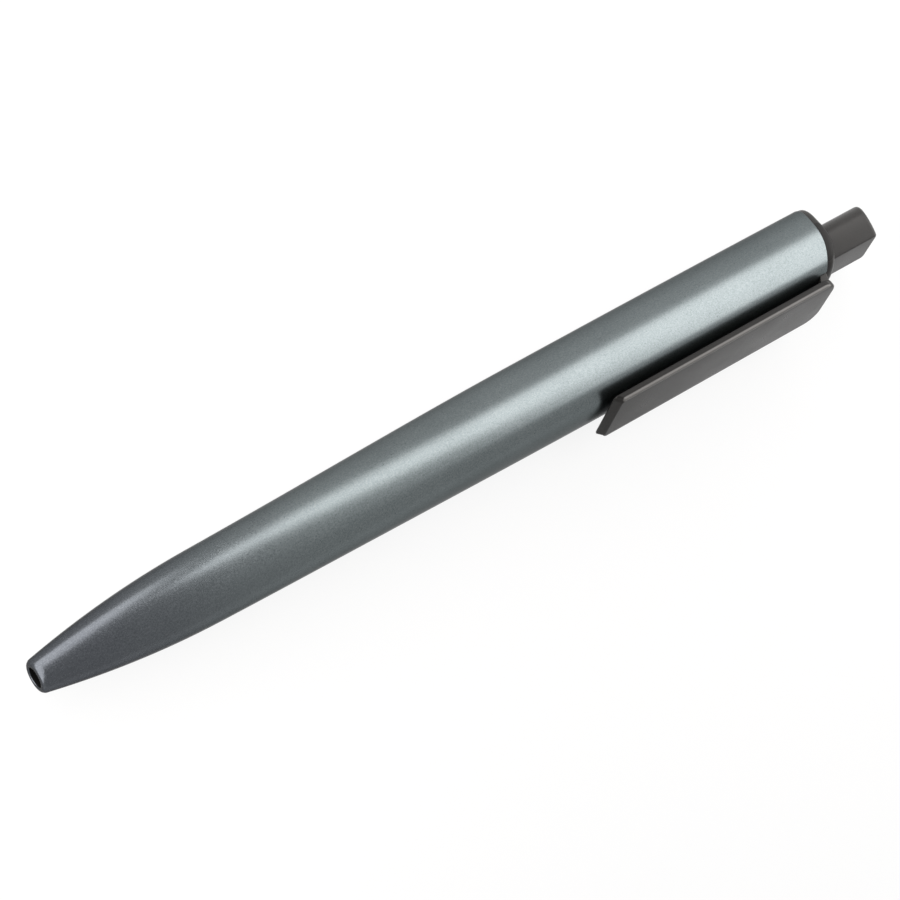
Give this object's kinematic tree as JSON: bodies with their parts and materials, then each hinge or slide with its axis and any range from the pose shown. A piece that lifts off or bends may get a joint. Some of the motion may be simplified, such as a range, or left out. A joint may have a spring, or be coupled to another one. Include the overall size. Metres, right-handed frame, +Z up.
{
  "type": "pushbutton ballpoint pen",
  "caption": "Slim tapered ballpoint pen with a rear push button, a slanted barrel end with a dark collar, a straight flat clip and a working click mechanism.",
  "frame": {"origin": "under the middle of the lying pen, on the surface that it lies on", "axes": "+X along the pen from the nose hole to the push button; the pen lies on a flat side of its barrel with the clip raised 27 degrees above -Y; +Z up"},
  "size_m": [0.1404, 0.0148, 0.0129],
  "materials": {
    "barrel_lacquer": "satin metallic lacquer, petrol grey",
    "dark_plastic": "satin dark grey",
    "white_plastic": "natural white",
    "spring_steel": "drawn wire",
    "ball_steel": "polished",
    "tube_plastic": "pale translucent",
    "tip_brass": "turned",
    "ink": "dark blue liquid",
    "follower_grease": "clear yellow grease"
  },
  "bodies": {
    "barrel": {"barrel": "barrel_lacquer", "end_collar": "dark_plastic", "cam_sleeve": "white_plastic", "return_spring": "spring_steel"},
    "button": {"push_button": "dark_plastic", "cam_crown": "white_plastic"},
    "refill": {"refill_tube": "tube_plastic", "tip_adapter": "white_plastic", "writing_tip": "tip_brass", "ink_column": "ink", "ink_follower": "follower_grease"},
    "rotor": {"cam_rotor": "white_plastic"},
    "ball": {"writing_ball": "ball_steel"},
    "clip": {"clip": "dark_plastic"}
  },
  "joints": [
    {"name": "button_press", "type": "slide", "parent": "barrel", "child": "button", "axis": [-1, 0, 0], "range_m": [0, 0.0064], "stiffness_N_per_m": 300, "springref_m": -0.006},
    {"name": "refill_slide", "type": "slide", "parent": "barrel", "child": "refill", "axis": [-1, 0, 0], "range_m": [0, 0.0064], "deforming": ["return_spring"]},
    {"name": "rotor_index", "type": "hinge", "parent": "refill", "child": "rotor", "pos_m": [0.03581, 0.00119, 0.00532], "axis": [1, 0, 0], "range_deg": [-2, 2]},
    {"name": "ball_roll", "type": "hinge", "parent": "refill", "child": "ball", "pos_m": [-0.06819, 0.00119, 0.00532], "axis": [0, 1, 0], "continuous": true},
    {"name": "clip_flex", "type": "hinge", "parent": "barrel", "child": "clip", "pos_m": [0.05481, -0.00317, 0.00754], "axis": [0, 0.4544, 0.8908], "range_deg": [0, 3], "stiffness_Nm_per_rad": 2.5}
  ],
  "couplings": [
    {"joint": "refill_slide", "follows": "button_press", "ratio": 1}
  ]
}
